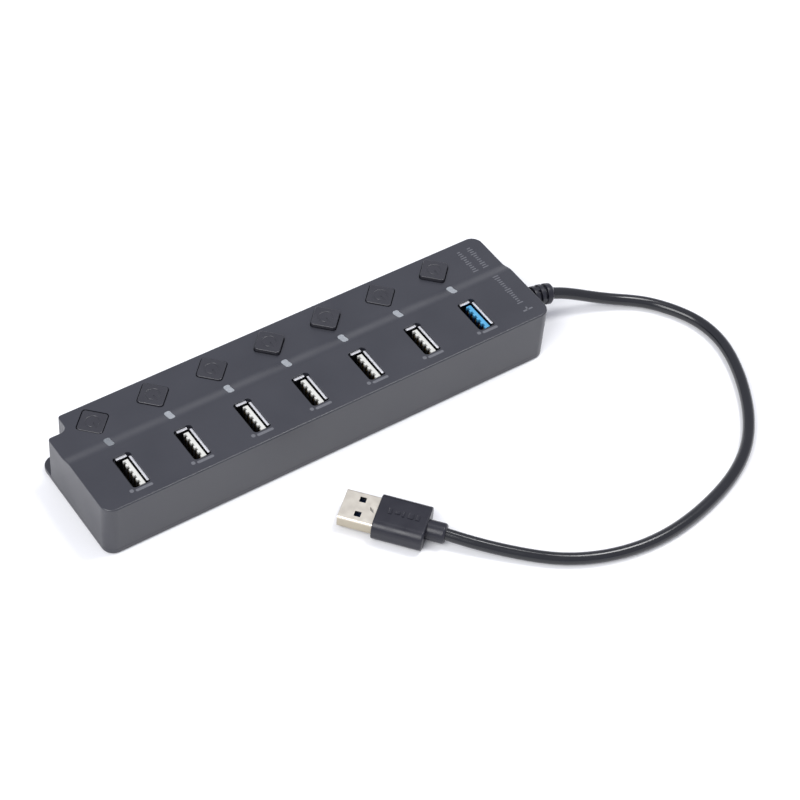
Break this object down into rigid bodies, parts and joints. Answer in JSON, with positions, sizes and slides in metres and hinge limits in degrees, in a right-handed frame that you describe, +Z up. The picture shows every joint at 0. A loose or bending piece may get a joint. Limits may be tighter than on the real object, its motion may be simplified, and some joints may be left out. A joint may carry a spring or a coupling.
{
  "type": "usb hub",
  "caption": "Bar-shaped USB hub with a row of upright USB-A ports, a latching power button and light beside each port, and a fixed cable ending in a USB-A plug.",
  "frame": {"origin": "on the floor plane, under the middle of the housing, cable and plug left out", "axes": "+Z up, +X along the housing towards the end that the cable leaves, +Y from the port side towards the button side"},
  "size_m": [0.2226, 0.1284, 0.0211],
  "materials": {
    "housing": "fine spark-eroded texture, satin-matt",
    "button": "satin, engraved power mark",
    "light": "frosted translucent",
    "nickel": "bright nickel plating on drawn steel",
    "insulator_white": "smooth moulded",
    "insulator_blue": "smooth moulded",
    "switch": "smooth moulded",
    "board": "solder mask over glass laminate",
    "chip": "moulded epoxy",
    "sleeve": "shrink sleeve",
    "screw_steel": "zinc plated",
    "foot_rubber": "matt",
    "cable_jacket": "satin PVC jacket",
    "cable_mould": "satin moulded PVC"
  },
  "bodies": {
    "housing": {"top_shell": "housing", "bottom_cover": "housing", "port_shell_1": "nickel", "port_shell_2": "nickel", "port_shell_3": "nickel", "port_shell_4": "nickel", "port_shell_5": "nickel", "port_shell_6": "nickel", "port_shell_7": "nickel", "plug_shell": "nickel", "crystal": "nickel", "port_insulator_1": "insulator_white", "port_insulator_2": "insulator_white", "port_insulator_3": "insulator_white", "port_insulator_4": "insulator_white", "port_insulator_5": "insulator_white", "port_insulator_6": "insulator_white", "cable_connector": "insulator_white", "port_insulator_7": "insulator_blue", "plug_insulator": "insulator_blue", "light_pipe_1": "light", "light_pipe_2": "light", "light_pipe_3": "light", "light_pipe_4": "light", "light_pipe_5": "light", "light_pipe_6": "light", "light_pipe_7": "light", "switch_body_1": "switch", "switch_body_2": "switch", "switch_body_3": "switch", "switch_body_4": "switch", "switch_body_5": "switch", "switch_body_6": "switch", "switch_body_7": "switch", "circuit_board": "board", "hub_controller_1": "chip", "hub_controller_2": "chip", "capacitor": "sleeve", "screw_1": "screw_steel", "screw_2": "screw_steel", "screw_3": "screw_steel", "screw_4": "screw_steel", "foot_1": "foot_rubber", "foot_2": "foot_rubber", "foot_3": "foot_rubber", "foot_4": "foot_rubber", "cable": "cable_jacket", "inner_lead": "cable_jacket", "strain_relief": "cable_mould", "plug_overmould": "cable_mould"},
    "push_button_1": {"button_1": "button"},
    "push_button_2": {"button_2": "button"},
    "push_button_3": {"button_3": "button"},
    "push_button_4": {"button_4": "button"},
    "push_button_5": {"button_5": "button"},
    "push_button_6": {"button_6": "button"},
    "push_button_7": {"button_7": "button"}
  },
  "joints": [
    {"name": "button_1_press", "type": "slide", "parent": "housing", "child": "push_button_1", "axis": [0, 0, -1], "range_m": [-0.0013, 0]},
    {"name": "button_2_press", "type": "slide", "parent": "housing", "child": "push_button_2", "axis": [0, 0, -1], "range_m": [-0.0009, 0.0004]},
    {"name": "button_3_press", "type": "slide", "parent": "housing", "child": "push_button_3", "axis": [0, 0, -1], "range_m": [-0.0009, 0.0004]},
    {"name": "button_4_press", "type": "slide", "parent": "housing", "child": "push_button_4", "axis": [0, 0, -1], "range_m": [0, 0.0013]},
    {"name": "button_5_press", "type": "slide", "parent": "housing", "child": "push_button_5", "axis": [0, 0, -1], "range_m": [0, 0.0013]},
    {"name": "button_6_press", "type": "slide", "parent": "housing", "child": "push_button_6", "axis": [0, 0, -1], "range_m": [-0.0009, 0.0004]},
    {"name": "button_7_press", "type": "slide", "parent": "housing", "child": "push_button_7", "axis": [0, 0, -1], "range_m": [0, 0.0013]}
  ]
}
